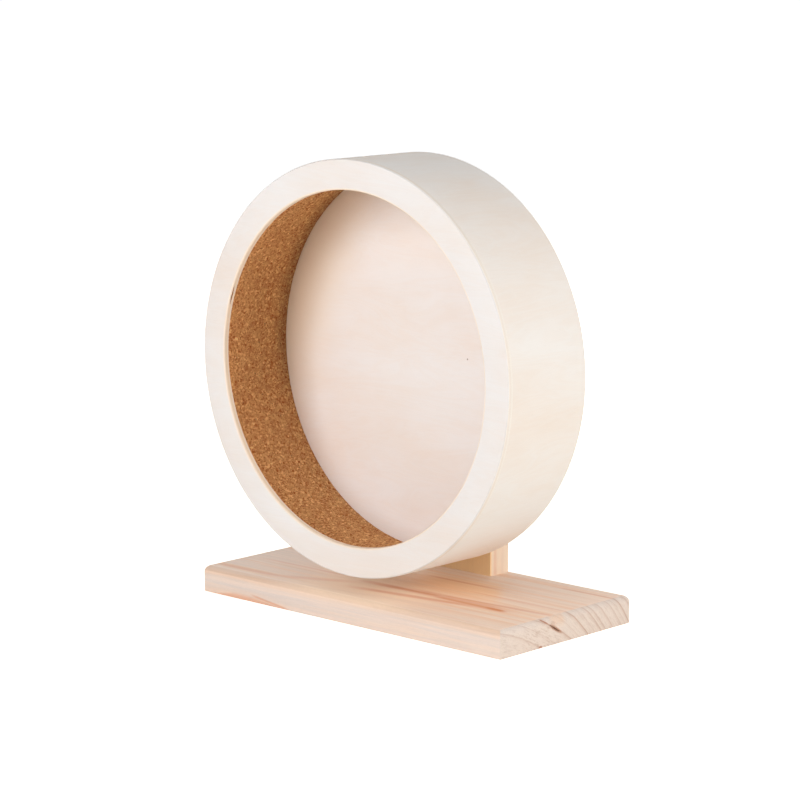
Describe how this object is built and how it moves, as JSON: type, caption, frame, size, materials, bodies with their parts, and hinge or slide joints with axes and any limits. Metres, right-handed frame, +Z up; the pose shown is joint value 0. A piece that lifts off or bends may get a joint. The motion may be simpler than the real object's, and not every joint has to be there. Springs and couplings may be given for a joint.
{
  "type": "rodent exercise wheel",
  "caption": "Free-standing wooden running wheel for a small rodent: an open plywood drum lined with cork, turning on ball bearings in front of a post on a pine board.",
  "frame": {"origin": "centre of the base board's underside, under the middle of the wheel's width", "axes": "+X across the wheel's face, to the right as seen from its open front; +Y from the open front to the post, along the wheel's axis; +Z up"},
  "size_m": [0.28, 0.1476, 0.312],
  "materials": {
    "pine": "raw sanded pine",
    "plywood": "raw sanded pale plywood",
    "beech": "raw beech",
    "cork": "pressed cork granules",
    "zinc": "bright zinc plate",
    "bearing_steel": "ground steel",
    "cage_brass": "pressed sheet"
  },
  "bodies": {
    "stand": {"base_board": "pine", "rear_post": "pine", "base_screws": "zinc", "post_dowels": "beech", "axle_bolt": "zinc", "head_shim": "zinc", "front_bearing_inner_ring": "bearing_steel", "bearing_spacer": "zinc", "rear_bearing_inner_ring": "bearing_steel", "nut_shim": "zinc", "jam_nut": "zinc", "post_washer": "zinc", "back_washer": "zinc", "spring_washer": "zinc", "cap_nut": "zinc"},
    "wheel": {"front_ring": "plywood", "drum_shell": "plywood", "cork_lining": "cork", "back_disc": "plywood", "hub_block": "beech", "front_bearing_outer_ring": "bearing_steel", "front_bearing_shields": "zinc", "rear_bearing_outer_ring": "bearing_steel", "rear_bearing_shields": "zinc"},
    "front_ball_set": {"front_bearing_balls": "bearing_steel", "front_bearing_cage": "cage_brass"},
    "rear_ball_set": {"rear_bearing_balls": "bearing_steel", "rear_bearing_cage": "cage_brass"}
  },
  "joints": [
    {"name": "wheel_spin", "type": "hinge", "parent": "stand", "child": "wheel", "pos_m": [0, 0, 0.172], "axis": [0, 1, 0], "continuous": true},
    {"name": "front_ball_set_spin", "type": "hinge", "parent": "stand", "child": "front_ball_set", "pos_m": [0, 0, 0.172], "axis": [0, 1, 0], "continuous": true},
    {"name": "rear_ball_set_spin", "type": "hinge", "parent": "stand", "child": "rear_ball_set", "pos_m": [0, 0, 0.172], "axis": [0, 1, 0], "continuous": true}
  ],
  "couplings": [
    {"joint": "front_ball_set_spin", "follows": "wheel_spin", "ratio": 0.632},
    {"joint": "rear_ball_set_spin", "follows": "wheel_spin", "ratio": 0.632}
  ]
}
